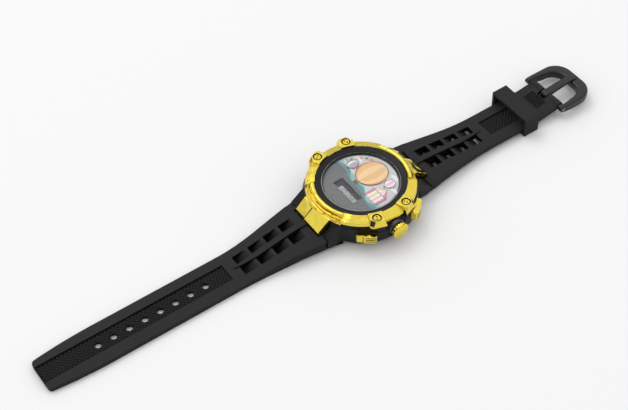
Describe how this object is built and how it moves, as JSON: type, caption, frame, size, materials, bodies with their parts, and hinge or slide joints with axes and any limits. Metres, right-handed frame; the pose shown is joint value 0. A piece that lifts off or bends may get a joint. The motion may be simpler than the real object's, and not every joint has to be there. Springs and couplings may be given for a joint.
{
  "type": "toy watch",
  "caption": "Toy digital watch with a gold plated bezel, a printed dial with a display window, press buttons and a black strap with a keeper and a pin buckle",
  "frame": {"origin": "middle of the back cover's outer face", "axes": "+Z points out of the dial, +Y to 12 o'clock along the strap to the buckle, +X to 3 o'clock and the crown"},
  "size_m": [0.0458, 0.2342, 0.0131],
  "materials": {
    "case_plastic": "black moulded plastic, satin",
    "plated_gold": "bright gold vacuum plating on moulded plastic",
    "clear_lens": "clear polished plastic",
    "dial_print": "printed card, several colours",
    "display_glass": "grey display glass",
    "contact_rubber": "striped conductive rubber",
    "frame_plastic": "white moulded plastic",
    "board_laminate": "green lacquered laminate",
    "chip_resin": "black cast resin",
    "bare_steel": "bright drawn steel",
    "spring_brass": "thin spring brass",
    "back_plate": "plain brushed plate",
    "seal_rubber": "dark soft rubber",
    "strap_rubber": "black soft vinyl, matte",
    "buckle_plastic": "black moulded plastic, matte"
  },
  "bodies": {
    "case": {"case_body": "case_plastic", "bezel": "plated_gold", "bezel_screws": "plated_gold", "lens": "clear_lens", "dial_card": "dial_print", "lcd_panel": "display_glass", "zebra_strips": "contact_rubber", "movement_frame": "frame_plastic", "circuit_board": "board_laminate", "chip_blob": "chip_resin", "quartz_can": "bare_steel", "button_cell": "bare_steel", "cell_clip": "spring_brass", "cell_contact": "spring_brass", "contact_leaves": "spring_brass", "back_cover": "back_plate", "back_screws": "bare_steel", "back_gasket": "seal_rubber", "crown_collar": "case_plastic", "spring_bar_12": "bare_steel", "spring_bar_6": "bare_steel"},
    "crown": {"crown_cap": "plated_gold", "crown_clip": "bare_steel"},
    "upper_button": {"upper_pusher": "plated_gold", "upper_clip": "bare_steel"},
    "lower_button": {"lower_pusher": "plated_gold", "lower_clip": "bare_steel"},
    "hole_strap": {"strap_hole_half": "strap_rubber"},
    "buckle_strap": {"strap_buckle_half": "strap_rubber"},
    "keeper": {"keeper_loop": "strap_rubber"},
    "buckle": {"buckle_frame": "buckle_plastic", "buckle_pin": "bare_steel"},
    "tongue": {"buckle_tongue": "buckle_plastic"}
  },
  "joints": [
    {"name": "crown_press", "type": "slide", "parent": "case", "child": "crown", "axis": [-1, 0, 0], "range_m": [0, 0.0008], "stiffness_N_per_m": 500, "deforming": ["contact_leaves"]},
    {"name": "upper_press", "type": "slide", "parent": "case", "child": "upper_button", "axis": [-0.788, -0.6157, 0], "range_m": [0, 0.0008], "stiffness_N_per_m": 500, "deforming": ["contact_leaves"]},
    {"name": "lower_press", "type": "slide", "parent": "case", "child": "lower_button", "axis": [-0.788, 0.6157, 0], "range_m": [0, 0.0008], "stiffness_N_per_m": 500, "deforming": ["contact_leaves"]},
    {"name": "hole_strap_hinge", "type": "hinge", "parent": "case", "child": "hole_strap", "pos_m": [0, -0.0208, 0.0034], "axis": [1, 0, 0], "range_deg": [0, 65]},
    {"name": "buckle_strap_hinge", "type": "hinge", "parent": "case", "child": "buckle_strap", "pos_m": [0, 0.0208, 0.0034], "axis": [-1, 0, 0], "range_deg": [0, 65]},
    {"name": "keeper_slide", "type": "slide", "parent": "buckle_strap", "child": "keeper", "axis": [0, 1, 0], "range_m": [-0.006, 0.004]},
    {"name": "buckle_hinge", "type": "hinge", "parent": "buckle_strap", "child": "buckle", "pos_m": [0, 0.0876, 0.00395], "axis": [1, 0, 0], "range_deg": [-45, 60]},
    {"name": "tongue_hinge", "type": "hinge", "parent": "buckle", "child": "tongue", "pos_m": [0, 0.0876, 0.00395], "axis": [1, 0, 0], "range_deg": [0, 60]}
  ]
}
